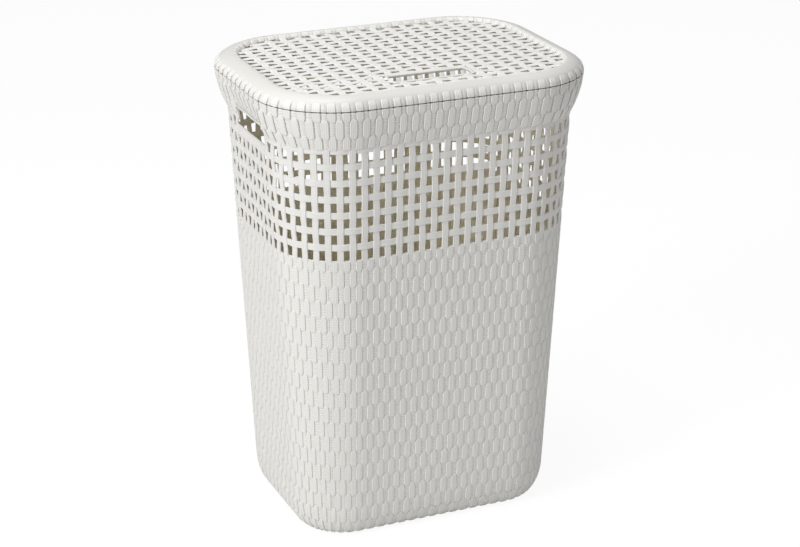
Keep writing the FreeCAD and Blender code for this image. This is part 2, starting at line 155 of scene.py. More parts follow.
# Stage: each light with its place, size and power, and the point that the camera looks at.
LIGHTS = (
    ("key_light", (-2.6, -1.0, 1.9), 0.8, 45.5),
    ("top_light", (-0.4, -0.2, 3.2), 1.6, 38.0),
)
LIGHT_AIM = (0.0, 0.0, 0.35)
AMBIENT = 0.34
CAMERA_AIM_Z = 307.5 * MM
CAMERA_RIGHT = 2.35 * MM         # small shifts of the aim in the picture's plane
CAMERA_UP = 1.91 * MM


class HamperWeaveSizes(bpy.types.PropertyGroup):
    """Sizes of the woven strips."""

    float_width: FloatProperty(
        name="Float width", description="Width of an upright strip where it lies on top",
        default=8.4 * MM, min=4 * MM, max=9 * MM, unit="LENGTH", subtype="DISTANCE")
    open_width: FloatProperty(
        name="Open strip width", description="Width of an upright strip in the open band",
        default=8.7 * MM, min=4 * MM, max=12 * MM, unit="LENGTH", subtype="DISTANCE")
    bar_height: FloatProperty(
        name="Bar height", description="Height of a bar of the open band",
        default=9.2 * MM, min=4 * MM, max=14 * MM, unit="LENGTH", subtype="DISTANCE")
    thickness: FloatProperty(
        name="Strip thickness", description="Thickness of a woven strip",
        default=1.9 * MM, min=0.5 * MM, max=2 * MM, unit="LENGTH", subtype="DISTANCE")
    relief: FloatProperty(
        name="Relief", description="How far a strip rises and dips as it is woven",
        default=0.62 * MM, min=0.0, max=2 * MM, unit="LENGTH", subtype="DISTANCE")
    float_relief: FloatProperty(
        name="Float relief", description="The same for the upright strips of the closed weave",
        default=0.85 * MM, min=0.0, max=2 * MM, unit="LENGTH", subtype="DISTANCE")
    panel_strip_x: FloatProperty(
        name="Lid strip across", description="Width of the lid strips that run side to side",
        default=8.3 * MM, min=4 * MM, max=12 * MM, unit="LENGTH", subtype="DISTANCE")
    panel_strip_y: FloatProperty(
        name="Lid strip lengthwise", description="Width of the lid strips that run front to rear",
        default=9.2 * MM, min=4 * MM, max=16 * MM, unit="LENGTH", subtype="DISTANCE")


class HamperFinish(bpy.types.PropertyGroup):
    """Colours of the plastic, with painted shade and painted highlights among them."""

    pale: FloatVectorProperty(
        name="Plastic", description="Main colour of the plastic",
        default=(0.84, 0.835, 0.81), min=0.0, max=1.0, size=3, subtype="COLOR")
    shade: FloatVectorProperty(
        name="Plastic shade", description="Slightly darker tone that the plastic drifts to",
        default=(0.79, 0.78, 0.745), min=0.0, max=1.0, size=3, subtype="COLOR")
    # Painted shade: the level bands are toned darker and warmer where they sit deep in the weave.
    recess_painted_shade: FloatVectorProperty(
        name="Recesses", description="Tone of the level bands deep in the weave",
        default=(0.79, 0.77, 0.71), min=0.0, max=1.0, size=3, subtype="COLOR")
    # Painted warm shade: the inside is the same plastic, toned warm and deep for the shade and
    # bounced light inside the hamper.
    inner: FloatVectorProperty(
        name="Inner side", description="Warmer tone of the hamper's inside",
        default=(0.97, 0.90, 0.71), min=0.0, max=1.0, size=3, subtype="COLOR")
    # Painted warm shade: the bottom plate is the same plastic, toned warm like the inside.
    floor: FloatVectorProperty(
        name="Bottom plate", description="Colour of the hamper's bottom plate",
        default=(0.90, 0.85, 0.70), min=0.0, max=1.0, size=3, subtype="COLOR")
    roughness: FloatProperty(
        name="Roughness", description="How matt the plastic is",
        default=0.42, min=0.0, max=1.0, subtype="FACTOR")


class HamperStageSettings(bpy.types.PropertyGroup):
    """Camera and light."""

    lens: FloatProperty(
        name="Lens", description="Focal length of the camera, in millimetres",
        default=95.70, min=20.0, max=300.0)
    distance: FloatProperty(
        name="Distance", description="Distance from the camera to the hamper",
        default=2.848, min=1.0, max=10.0, unit="LENGTH", subtype="DISTANCE")
    azimuth: FloatProperty(
        name="Azimuth", description="Turn of the camera round the hamper",
        default=math.radians(-23.39), unit="ROTATION", subtype="ANGLE")
    elevation: FloatProperty(
        name="Elevation", description="Height of the camera above the horizon",
        default=math.radians(21.32), unit="ROTATION", subtype="ANGLE")


# Section of a strip, part of its half width and half thickness: flat top, small chamfers.
STRIP_SECTION = np.array((
    (-1.0, -0.3), (-0.98, 0.15), (-0.80, 0.92), (0.0, 1.0), (0.80, 0.92),
    (0.98, 0.15), (1.0, -0.3), (0.9, -0.9), (-0.9, -0.9), (-1.0, -0.3)))
HIDDEN_SIDE = 7.5 / 9            # middle of the section's flat underside, part of its steps
HIDDEN_HALF = 0.05               # and half of its length

# Where the sections of a woven strip stand, part of the way from one row to the next.
ROW_STATIONS = np.array((0.0, 0.30, 0.36, 0.40, 0.46, 0.54, 0.60, 0.64, 0.70))


# --- node helpers -------------------------------------------------------------------------
class Value:
    """A node output that takes part in sums, so that shader maths reads as expressions."""

    def __init__(self, finish, socket):
        self.finish = finish
        self.socket = socket

    def _math(self, operation, *items):
        return self.finish.node("ShaderNodeMath", {"operation": operation}, dict(enumerate(items)))

    def __add__(self, other):
        return self._math("ADD", self, other)

    __radd__ = __add__

    def __mul__(self, other):
        return self._math("MULTIPLY", self, other)

    __rmul__ = __mul__

    def __pow__(self, other):
        return self._math("POWER", self, other)

    def sine(self):
        return self._math("SINE", self)


class Finish:
    """A node-based material under construction."""

    def __init__(self, name):
        self.material = bpy.data.materials.new(name)
        self.material.use_nodes = True
        self.tree = self.material.node_tree
        self.tree.nodes.clear()

    def node(self, kind, settings, inputs, output=0):
        """Adds a node, sets it up, fills its sockets and returns one of its outputs."""
        node = self.tree.nodes.new(kind)
        for key, setting in settings.items():
            setattr(node, key, setting)
        for key, item in inputs.items():
            if isinstance(item, Value):
                self.tree.links.new(item.socket, node.inputs[key])
            else:
                node.inputs[key].default_value = item
        return Value(self, node.outputs[output])

    def done(self, shader):
        """Puts the shader on the material's output."""
        output = self.tree.nodes.new("ShaderNodeOutputMaterial")
        self.tree.links.new(shader.socket, output.inputs["Surface"])
        return self.material


def colour(rgb):
    """A colour with full alpha."""
    return (rgb[0], rgb[1], rgb[2], 1.0)


def toned(rgb, gain):
    """A colour made lighter or darker, for painted highlights and painted shade."""
    return [gain * part for part in rgb]


def plastic(name, pale, shade, painted_shade_and_highlight, roughness, lines=0.0, strip_axis=None):
    """Satin plastic: a slow drift of tone, a fine grain, and fine lines along each strip.

    The lines repeat along one axis of the strip's own map. With X they run lengthwise, and
    the strip's hidden side takes the extra colour as painted shade. With Y they run across,
    and their crests take it as a painted highlight.
    """
    finish = Finish(name)
    place = finish.node("ShaderNodeTexCoord", {}, {}, "Object")
    drift = finish.node("ShaderNodeTexNoise", {}, {"Vector": place, "Scale": 9.0, "Detail": 3.0})
    grain = finish.node("ShaderNodeTexNoise", {}, {"Vector": place, "Scale": 420.0, "Detail": 4.0})
    tone = finish.node(
        "ShaderNodeMix", {"data_type": "RGBA"},
        {"Factor": drift * 0.9, "A": colour(pale), "B": colour(shade)}, 2)
    height = grain * 0.35
    if strip_axis:
        uv = finish.node("ShaderNodeUVMap", {"uv_map": "strip"}, {})
        split = finish.node("ShaderNodeSeparateXYZ", {}, {"Vector": uv}, strip_axis)
        ridge = (split * (lines * 2 * math.pi)).sine()
        height = height + ridge * (0.9 if strip_axis == "X" else 2.2)
        if strip_axis == "X":
            # painted shade: the strip's hidden underside takes the extra colour
            painted_light_mask = finish.node("ShaderNodeMath", {"operation": "COMPARE"},
                               {0: split, 1: HIDDEN_SIDE, 2: HIDDEN_HALF})
        else:
            # painted highlight: the crests of the fine lines take the extra colour
            painted_light_mask = (ridge * 0.5 + 0.5) ** 3.0 * 0.7
        tone = finish.node(
            "ShaderNodeMix", {"data_type": "RGBA"},
            {"Factor": painted_light_mask, "A": tone, "B": colour(painted_shade_and_highlight)}, 2)
    bump = finish.node(
        "ShaderNodeBump", {}, {"Strength": 0.35, "Distance": 0.25 * MM, "Height": height})
    shader = finish.node(
        "ShaderNodeBsdfPrincipled", {},
        {"Base Color": tone, "Roughness": grain * 0.16 + (roughness - 0.08),
         "Normal": bump, "IOR": 1.46, "Specular IOR Level": 0.4})
    finish.done(shader)


# --- surfaces -----------------------------------------------------------------------------
def wall_outline(z):
    """Outline of the wall, which widens with height."""
    return WALL_AT_FLOOR + (WALL_AT_TOP - WALL_AT_FLOOR) * (z / WALL_TOP_Z)


def collar_outline(z):
    """The collar tapers in from the seam, faster towards its lower edge."""
    drop = min(1.0, (SEAM_Z - z) / (SEAM_Z - COLLAR_Z))
    low = wall_outline(z) + COLLAR_LIP
    return low + (SEAM - low) * (1.0 - drop ** COLLAR_TAPER)


def rim_level(part, height=None):
    """Outline, height and shift of the lid's rim, part of the way from the seam to the panel."""
    def arc(at):
        return math.sqrt(1.0 - (1.0 - at / DOME_PART) ** 2)
    if height is None:
        height = SEAM_Z + (CREST_Z - SEAM_Z) * arc(part) / arc(CREST_PART)
    return SEAM + (PANEL - SEAM) * part, height, PANEL_SHIFT * part


class Surface:
    """Skin of the hamper, from level to level, addressed by column and by run along it."""

    def __init__(self, levels, start=0.0):
        table = np.array([[*level[0], level[1], level[2] if len(level) > 2 else 0.0]
                          for level in levels])
        steps = np.hypot(np.diff(table[:, 0]), np.diff(table[:, 3]))
        self.run = start + np.concatenate(([0.0], np.cumsum(steps)))
        self.table = table
        self.out_slope = np.gradient(table[:, 0], self.run)
        self.up_slope = np.gradient(table[:, 3], self.run)

    def at_height(self, z):
        """Run at which the skin, while it climbs, reaches a height."""
        heights = self.table[:, 3]
        last = int(np.argmax(heights)) + 1
        first = int(np.argmin(heights[:last]))
        return float(np.interp(z, heights[first:last], self.run[first:last]))

    def place(self, column, run, out):
        """Points at a distance outwards from the skin."""
        outline = [np.interp(run, self.run, self.table[:, k]) for k in range(3)]
        z = np.interp(run, self.run, self.table[:, 3])
        shift = np.interp(run, self.run, self.table[:, 4])
        dip = np.interp(run, self.run, self.out_slope)
        climb = np.interp(run, self.run, self.up_slope)
        length = np.hypot(dip, climb)
        x, y, out_x, out_y = around(outline, column, flat_pitch(z))
        level = out * climb / length
        x = x + out_x * level
        y = y + out_y * level + shift
        return np.stack([x, y, z - out * dip / length], axis=1)


def flat_pitch(z):
    """Column pitch on the flat sides, which widens with height."""
    heights = np.array((0, 454, 546, 598)) * MM
    return np.interp(z, heights, np.array((15.07, 15.7, 15.85, 16.3)) * MM)


def around(outline, column, pitch):
    """Point and outward direction on a rounded rectangle, by column from the front's middle.

    Columns keep their pitch on the flat sides, and the corners take up the difference.
    """
    half_width, half_depth, radius = outline
    flat_x = half_width - radius
    flat_y = half_depth - radius
    bend = radius * math.pi / 2
    turn = np.mod(column, COLUMNS)
    quadrant = np.floor(turn / QUARTER)
    count = turn - QUARTER * quadrant
    count = np.where(quadrant % 2 == 1, QUARTER - count, count)
    part = np.clip((count - EVEN_COLUMNS) / BEND_COLUMNS, 0, 1)
    surplus = QUARTER * pitch - (flat_x + bend + flat_y)
    travel = pitch * count - surplus * (part - np.sin(2 * math.pi * part) / (2 * math.pi))
    along = np.minimum(travel, flat_x)
    angle = np.clip((travel - flat_x) / radius, 0, math.pi / 2)
    past = np.maximum(travel - flat_x - bend, 0)
    side_x = np.where(quadrant < 2, 1, -1)
    side_y = np.where((quadrant == 0) | (quadrant == 3), -1, 1)
    x = side_x * (along + radius * np.sin(angle))
    y = side_y * (flat_y + radius * np.cos(angle) - past)
    return x, y, side_x * np.sin(angle), side_y * np.cos(angle)


def wall_skin():
    """Wall from the curved lower edge to behind the collar; run equals height on the wall."""
    levels = []
    for step in range(25):
        turn = math.pi / 2 * step / 24
        z = EDGE_HEIGHT * (1 - math.cos(turn))
        levels.append((wall_outline(z) - EDGE_INSET * (1 - math.sin(turn)), z))
    levels += [(wall_outline(z * MM), z * MM) for z in (100, 300, 560)]
    shape = Surface(levels)
    return Surface(levels, start=EDGE_HEIGHT - float(shape.run[24]))


def collar_skin():
    """Collar from under its lip, up the swell to the seam and in over the flat flange."""
    levels = [(wall_outline(COLLAR_Z) - 0.6 * MM, COLLAR_Z + 0.8 * MM),
              (wall_outline(COLLAR_Z) + 0.2 * MM, COLLAR_Z + 0.1 * MM)]
    for step in range(19):
        z = COLLAR_Z + (BASKET_TOP_Z - 1.2 * MM - COLLAR_Z) * (step / 18) ** 1.2
        levels.append((collar_outline(z), z))
    levels.append((SEAM - 0.1 * MM, BASKET_TOP_Z - 0.2 * MM))
    levels.append((SEAM - 0.6 * MM, BASKET_TOP_Z))
    mouth = wall_outline(BASKET_TOP_Z) - 1.8 * MM
    levels.append(((SEAM + mouth) / 2, BASKET_TOP_Z))
    levels.append((mouth, BASKET_TOP_Z))
    return Surface(levels)


def rim_skin():
    """Lid rim from the seam, over the crest and down to the foot round the panel."""
    levels = [(SEAM - 0.2 * MM, SEAM_Z - 0.3 * MM, 0.0), rim_level(0.003, SEAM_Z + 0.5 * MM)]
    for step in range(1, 19):
        part = 0.012 + (CREST_PART - 0.012) * (step / 18) ** 1.5
        levels.append(rim_level(part))
    levels.append(rim_level(CREST_END_PART, CREST_Z - 0.3 * MM))
    levels.append(rim_level(0.92, CREST_Z - 1.4 * MM))
    levels.append(rim_level(0.97, PANEL_Z + 0.6 * MM))
    levels.append(rim_level(1.0, PANEL_Z - 1.0 * MM))
    levels.append(rim_level(1.0, SEAM_Z + 1.0 * MM))
    return Surface(levels)


WALL_SKIN = wall_skin()
COLLAR_SKIN = collar_skin()
RIM_SKIN = rim_skin()
RIM_CREST = RIM_SKIN.at_height(CREST_Z - 0.2 * MM)
RIM_FOOT = float(RIM_SKIN.run[-2])


# --- mesh helpers -------------------------------------------------------------------------
def make_object(name, mesh, body, nodes, material):
    """Finished piece: its object, the body it rides on and the nodes it stands for."""
    mesh.materials.append(bpy.data.materials[material])
    piece = bpy.data.objects.new(name, mesh)
    bpy.context.scene.collection.objects.link(piece)
    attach(piece, body)
    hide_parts(*nodes)
    return piece


def woven_mesh(name, count, across, along, place):
    """Mesh of several grids, each bent into shape; edges that meet are welded.

    place takes the grid's number and the two steps across and along it, and gives points.
    """
    bm = bmesh.new()
    bm.loops.layers.uv.new("strip")
    for _ in range(count):
        bmesh.ops.create_grid(bm, x_segments=across, y_segments=along, size=0.5, calc_uvs=True)
    mesh = bpy.data.meshes.new(name)
    bm.to_mesh(mesh)
    flat = np.empty(len(mesh.vertices) * 3)
    mesh.vertices.foreach_get("co", flat)
    flat = flat.reshape(-1, 3)
    number = np.repeat(np.arange(count), (across + 1) * (along + 1))
    step_across = np.rint((flat[:, 0] + 0.5) * across).astype(int)
    step_along = np.rint((flat[:, 1] + 0.5) * along).astype(int)
    points = place(number, step_across, step_along)
    mesh.vertices.foreach_set("co", points.ravel())
    bm.clear()
    bm.from_mesh(mesh)
    bmesh.ops.remove_doubles(bm, verts=bm.verts, dist=2e-6)
    bmesh.ops.dissolve_degenerate(bm, dist=1e-7, edges=bm.edges)
    return bm, mesh


def finish_mesh(bm, mesh, closed, sharp=32.0):
    """Writes a bmesh back, with outward normals and smooth faces between sharp edges."""
    if closed:
        bmesh.ops.recalc_face_normals(bm, faces=bm.faces)
    for face in bm.faces:
        face.smooth = True
    bm.to_mesh(mesh)
    bm.free()
    mesh.set_sharp_from_angle(angle=math.radians(sharp))
    return mesh


def strip_mesh(name, count, along, centre_line):
    """Closed strips of the standard section.

    centre_line takes strip numbers, part along (0 to 1), side (-1 to 1) and lift (-1 to 1),
    and gives points. The first and last steps close the ends.
    """
    steps = along + 2

    def place(number, step_across, step_along):
        inner = np.clip(step_along - 1, 0, along)
        part = inner / along
        capped = (step_along == 0) | (step_along == steps)
        side = np.where(capped, 0.0, STRIP_SECTION[step_across, 0])
        lift = np.where(capped, 0.0, STRIP_SECTION[step_across, 1])
        return centre_line(number, part, side, lift)

    bm, mesh = woven_mesh(name, count, len(STRIP_SECTION) - 1, steps, place)
    return finish_mesh(bm, mesh, closed=True)


def sheet_mesh(name, across, along, place):
    """One open sheet, with its face outwards."""
    bm, mesh = woven_mesh(name, 1, across, along, place)
    return finish_mesh(bm, mesh, closed=False)


def thicken(piece, thickness, inside):
    """Gives a sheet its wall, inwards, with another finish on its inside, such as the inner
    plastic's painted warm shade.
    """
    piece.data.materials.append(bpy.data.materials[inside])
    wall = piece.modifiers.new("wall", "SOLIDIFY")
    wall.thickness = thickness
    wall.offset = -1.0
    wall.material_offset = 1


# --- weave rules --------------------------------------------------------------------------
def smooth_step(part):
    """Eases in and out between 0 and 1."""
    return part * part * (3 - 2 * part)


def strip_side(column, row, between):
    """+1 where an upright strip lies over a row, -1 where it dips behind it.

    Even strips carry on into the open band, where they follow a plain weave; the strips
    between them stop at the top of the closed weave.
    """
    closed = np.where(row % 2 == 0, 1, -1) * np.where(between, -1, 1)
    plain = np.where((row + np.rint(column).astype(int)) % 2 == 0, 1, -1)
    return np.where(row >= OPEN_BARS, closed, plain)


def strip_wave(column, run, between):
    """Height of an upright strip's weave at a run, from -1 to 1, and its rows from a float."""
    place = (TOP_BAR_Z - run) / ROW_PITCH
    row = np.floor(place + 1e-6).astype(int)
    part = place - row
    above = strip_side(column, row, between)
    below = strip_side(column, row + 1, between)
    closed = row >= OPEN_BARS
    centre = 0.5 + np.where(closed, BEND_SHIFT, 0.0) * (above - below)
    length = np.where(closed, CLOSED_BEND, OPEN_BEND)
    bend = smooth_step(np.clip((part - centre) / length + 0.5, 0, 1))
    rows = np.where(above > below, part, np.where(above < below, 1 - part, 0.0))
    return above + (below - above) * bend, rows


def groove(column):
    """Depth, from 0 to 1, of the grooves beside the strips, a quarter column off their middles."""
    return 1 - np.abs(np.cos(2 * math.pi * column)) ** 0.7


def row_runs(low, high):
    """Runs of all the sections of a woven strip between two runs."""
    rows = np.arange(-1, 28)
    places = (rows[:, None] + ROW_STATIONS[None, :]).ravel()
    runs = TOP_BAR_Z - ROW_PITCH * places
    inside = (runs > low + 0.5 * MM) & (runs < high - 0.5 * MM)
    return np.sort(np.concatenate(([low, high], runs[inside])))


def beside_hand_hole(column):
    """Columns from the middle of the nearer hand-hole."""
    turn = np.mod(column, COLUMNS)
    return np.minimum(np.abs(turn - HAND_HOLE_MIDDLES[0]), np.abs(turn - HAND_HOLE_MIDDLES[1]))


def collar_place(column, run, out):
    """Points on the collar, whose lower edge is lifted over the hand-holes."""
    points = COLLAR_SKIN.place(column, run, out)
    past = np.clip((beside_hand_hole(column) - HAND_HOLE_HALF + 0.1) / 0.5, 0, 1)
    lift = (1 - smooth_step(past)) * (HAND_HOLE_TOP - COLLAR_Z)
    points[:, 2] += lift * (SEAM_Z - points[:, 2]) / (SEAM_Z - COLLAR_Z)
    return points


def rim_place(column, run, out):
    """Points on the lid's rim, whose ribs sink out of sight over the crest."""
    flush = np.interp(run, (0.18 * RIM_CREST, 0.45 * RIM_CREST, RIM_CREST, RIM_FOOT),
                      (0.0, 0.62, 0.62, 0.0)) * MM
    return RIM_SKIN.place(column, run, out - flush)


# --- operators ----------------------------------------------------------------------------
# First column of each side, and the nodes that its tall strips stand for.
SIDES = {
    "front": (-10, ("open_weave_front", "open_weave_corner_front_left")),
    "right": (10, ("open_weave_right", "open_weave_corner_front_right")),
    "rear": (30, ("open_weave_rear", "open_weave_corner_rear_right")),
    "left": (50, ("open_weave_left", "open_weave_corner_rear_left")),
}


class HAMPER_OT_finishes(bpy.types.Operator):
    """Make the plastic finishes"""

    bl_idname = "hamper.finishes"
    bl_label = "Plastic Finishes"

    def execute(self, context):
        look = context.scene.hamper_finish
        pale, shade, inner, roughness = look.pale, look.shade, look.inner, look.roughness
        # The strips' hidden undersides take the inside's painted warm shade.
        plastic("ribbed_painted_shade_plastic", pale, shade, inner, roughness, RIB_LINES, "X")
        # Painted highlight: a lighter tone for the crests of the fine lines.
        crest_highlight = toned(pale, 1.12)
        # Bands and collar: painted shade in the recess tone, with painted highlights on the crests
        # of their fine lines.
        plastic("banded_painted_light_plastic", look.recess_painted_shade, shade, crest_highlight, roughness, BAND_LINES, "Y")
        plastic("collar_painted_light_plastic", look.recess_painted_shade, shade, crest_highlight, roughness, COLLAR_LINES, "Y")
        plastic("plain_plastic", pale, shade, inner, roughness)
        # Painted shade: the rim is toned darker to take down the light on its dome.
        plastic("rim_painted_shade_plastic", toned(shade, 0.89), shade, inner, roughness)
        # Painted light: the lid's panel is toned lighter, as its top catches more light.
        plastic("panel_painted_light_plastic", toned(pale, 1.05), pale, pale, roughness, RIB_LINES, "X")
        # Painted warm shade for the hamper's inside.
        plastic("inner_painted_shade_plastic", inner, look.floor, inner, roughness + 0.05)
        # Painted warm shade for the bottom plate.
        plastic("bottom_painted_shade_plastic", look.floor, inner, inner, roughness + 0.08)
        plastic("pin_plastic", pale, shade, inner, roughness - 0.06)
        return {"FINISHED"}


class HAMPER_OT_strips(bpy.types.Operator):
    """Weave the upright strips of the walls"""

    bl_idname = "hamper.strips"
    bl_label = "Upright Strips"

    def execute(self, context):
        sizes = context.scene.hamper_sizes
        for side, (first, nodes) in SIDES.items():
            self.weave(sizes, "closed_strips_" + side, first, nodes, between=True)
            self.weave(sizes, "tall_strips_" + side, first, nodes, between=False)
        return {"FINISHED"}

    def weave(self, sizes, name, first, nodes, between):
        """One side's strips, from the floor to the closed weave's edge or behind the collar."""
        highest = CLOSED_TOP_Z - 1.5 * MM if between else COLLAR_Z + 4 * MM
        runs = row_runs(float(WALL_SKIN.run[0]) + 2.5 * MM, highest)
        parts = np.linspace(0, 1, len(runs))

        def centre_line(number, part, side, lift):
            column = first + number + (0.5 if between else 0.0)
            short = beside_hand_hole(column) < HAND_HOLE_HALF - 0.05
            top = np.where(short, HAND_HOLE_LOW - 1.5 * MM, highest)
            run = np.minimum(np.interp(part, parts, runs), top)
            wave, rows = strip_wave(column, run, between)
            if not between:
                edge = np.interp(run - CLOSED_TOP_Z, EDGE_DIVE[0], EDGE_DIVE[1])
                wave = np.maximum(wave, edge)
            taper = np.interp(rows, *STRIP_TAPER)
            low_part = run < CLOSED_TOP_Z - (2 if between else 9) * MM
            width = np.where(low_part, sizes.float_width * taper, sizes.open_width)
            half = 0.5 * width / flat_pitch(run)
            relief = np.where(run < CLOSED_TOP_Z - 2 * MM, sizes.float_relief, sizes.relief)
            out = (wave - 1) * relief - STRIP_DEPTH + lift * sizes.thickness / 2
            return WALL_SKIN.place(column + side * half, run, out)

        mesh = strip_mesh(name, QUARTER, len(runs) - 1, centre_line)
        replaced = ("closed_weave_wall", "base_edge") if between else nodes
        make_object(name, mesh, "basket", replaced, "ribbed_painted_shade_plastic")


class HAMPER_OT_bands(bpy.types.Operator):
    """Lay the level bands of the closed weave"""

    bl_idname = "hamper.bands"
    bl_label = "Closed Weave Bands"

    def execute(self, context):
        low = float(WALL_SKIN.run[0])
        across = QUARTER * COLUMN_STEPS
        along = BAND_ROWS * ROW_STEPS
        for side, (first, _) in SIDES.items():

            def place(number, step_across, step_along, first=first):
                column = first + QUARTER * step_across / across
                run = low + (CLOSED_TOP_Z - low) * step_along / along
                phase = (TOP_BAR_Z - run) / ROW_PITCH
                over = np.cos(2 * math.pi * column) * np.cos(math.pi * phase)
                out = (-0.2 * over - 0.7 - 0.25 * groove(column)) * MM
                return WALL_SKIN.place(column, run, out)

            mesh = sheet_mesh("closed_bands_" + side, across, along, place)
            piece = make_object("closed_bands_" + side, mesh, "basket",
                                ("closed_weave_wall",), "banded_painted_light_plastic")
            # the inside faces take the painted warm shade
            thicken(piece, BAND_THICKNESS, "inner_painted_shade_plastic")
        return {"FINISHED"}


class HAMPER_OT_bars(bpy.types.Operator):
    """Lay the level bars of the open band"""

    bl_idname = "hamper.bars"
    bl_label = "Open Band Bars"

    def execute(self, context):
        sizes = context.scene.hamper_sizes
        right, left = HAND_HOLE_MIDDLES
        self.lay(sizes, "open_bar_0_front", 0, left + HAND_HOLE_HALF - COLUMNS,
                 right - HAND_HOLE_HALF)
        self.lay(sizes, "open_bar_0_rear", 0, right + HAND_HOLE_HALF, left - HAND_HOLE_HALF)
        for row in range(1, OPEN_BARS):
            self.lay(sizes, "open_bar_%d" % row, row, 0, COLUMNS)
        self.rail(sizes, "hand_hole_rail_right", right)
        self.rail(sizes, "hand_hole_rail_left", left)
        return {"FINISHED"}

    def lay(self, sizes, name, row, first, last):
        """One level bar between two columns, woven with the upright strips."""
        centre = TOP_BAR_Z - ROW_PITCH * row
        along = int(round((last - first) * BAR_STEPS))

        def centre_line(number, part, side, lift):
            column = first + (last - first) * part
            wave = -np.cos(math.pi * (column + row))
            out = wave * sizes.relief * 0.9 - BAR_DEPTH + lift * sizes.thickness / 2
            run = centre + side * sizes.bar_height / 2
            return WALL_SKIN.place(column, run, out)

        mesh = strip_mesh(name, 1, along, centre_line)
        make_object(name, mesh, "basket", ("open_weave_front",),
                    "ribbed_painted_shade_plastic")

    def rail(self, sizes, name, middle):
        """Plain rail under a hand-hole, whose ends reach behind the strips beside it."""
        half = HAND_HOLE_HALF + RAIL_REACH

        def centre_line(number, part, side, lift):
            column = middle - half + 2 * half * part
            run = RAIL_Z + side * RAIL_HALF
            return WALL_SKIN.place(column, run, -BAR_DEPTH + lift * sizes.thickness * 0.6)

        mesh = strip_mesh(name, 1, RAIL_STEPS, centre_line)
        make_object(name, mesh, "basket", ("open_weave_right",),
                    "ribbed_painted_shade_plastic")


def float_strips(name, place, shift, low, high, body, node, tips):
    """Short raised strips between two runs, one in each column.

    shift moves them along the columns, and tips says which of their two ends narrow and dive.
    """
    columns = np.arange(COLUMNS) + shift
    low_tip, high_tip = tips
    tip_part = min(0.4, FLOAT_TIP / (high - low))

    def centre_line(number, part, side, lift):
        run = low + (high - low) * part
        near_low = np.clip(1 - part / tip_part, 0, 1) * low_tip
        near_high = np.clip(1 - (1 - part) / tip_part, 0, 1) * high_tip
        tip = np.maximum(near_low, near_high)
        dive = FLOAT_DIVE * smooth_step(np.clip(tip * 1.6 - 0.6, 0, 1))
        out = lift * FLOAT_HALF - STRIP_DEPTH - dive
        half = 0.5 * FLOAT_COLUMNS * (1 - FLOAT_NARROWING * tip)
        return place(columns[number] + side * half, run, out)

    mesh = strip_mesh(name, COLUMNS, FLOAT_STEPS, centre_line)
    make_object(name, mesh, body, (node,), "ribbed_painted_shade_plastic")


class HAMPER_OT_collar(bpy.types.Operator):
    """Shape the rolled collar and its woven floats"""

    bl_idname = "hamper.collar"
    bl_label = "Collar"

    def execute(self, context):
        end = float(COLLAR_SKIN.run[-1])
        across = COLUMNS * COLUMN_STEPS
        along = 30

        def place(number, step_across, step_along):
            column = COLUMNS * step_across / across
            run = end * step_along / along
            return collar_place(column, run, -(0.55 + 1.2 * groove(column)) * MM)

        mesh = sheet_mesh("collar_body", across, along, place)
        piece = make_object("collar_body", mesh, "basket", ("collar",),
                            "collar_painted_light_plastic")
        # the inside faces take the painted warm shade
        thicken(piece, COLLAR_THICKNESS, "inner_painted_shade_plastic")
        for name, shift, low, high, tips in COLLAR_FLOATS:
            float_strips("collar_floats_" + name, collar_place, shift,
                         COLLAR_SKIN.at_height(low * MM), COLLAR_SKIN.at_height(high * MM),
                         "basket", "collar", tips)
        return {"FINISHED"}


class HAMPER_OT_rim(bpy.types.Operator):
    """Shape the lid's rolled rim and its ribs"""

    bl_idname = "hamper.rim"
    bl_label = "Lid Rim"

    def execute(self, context):
        end = float(RIM_SKIN.run[-1])
        across = COLUMNS * COLUMN_STEPS
        along = 36

        def place(number, step_across, step_along):
            column = COLUMNS * step_across / across
            run = end * step_along / along
            depth = np.interp(
                run, (0, 2 * MM, RIM_CREST * 0.25, RIM_CREST * 0.45, RIM_CREST, RIM_FOOT),
                (0.4, 0.45, 0.4, 0.0, 0.0, 0.4)) * MM
            return RIM_SKIN.place(column, run, -0.1 * MM - depth * (1 + 2.8 * groove(column)))

        mesh = sheet_mesh("lid_rim_body", across, along, place)
        piece = make_object("lid_rim_body", mesh, "lid", ("lid_rim",),
                            "rim_painted_shade_plastic")
        thicken(piece, RIM_THICKNESS, "plain_plastic")
        start = RIM_SKIN.at_height(SEAM_Z + 0.5 * MM)
        float_strips("lid_rim_floats", rim_place, 0.5, start, RIM_FOOT - 0.5 * MM,
                     "lid", "lid_rim", (0, 0))
        return {"FINISHED"}


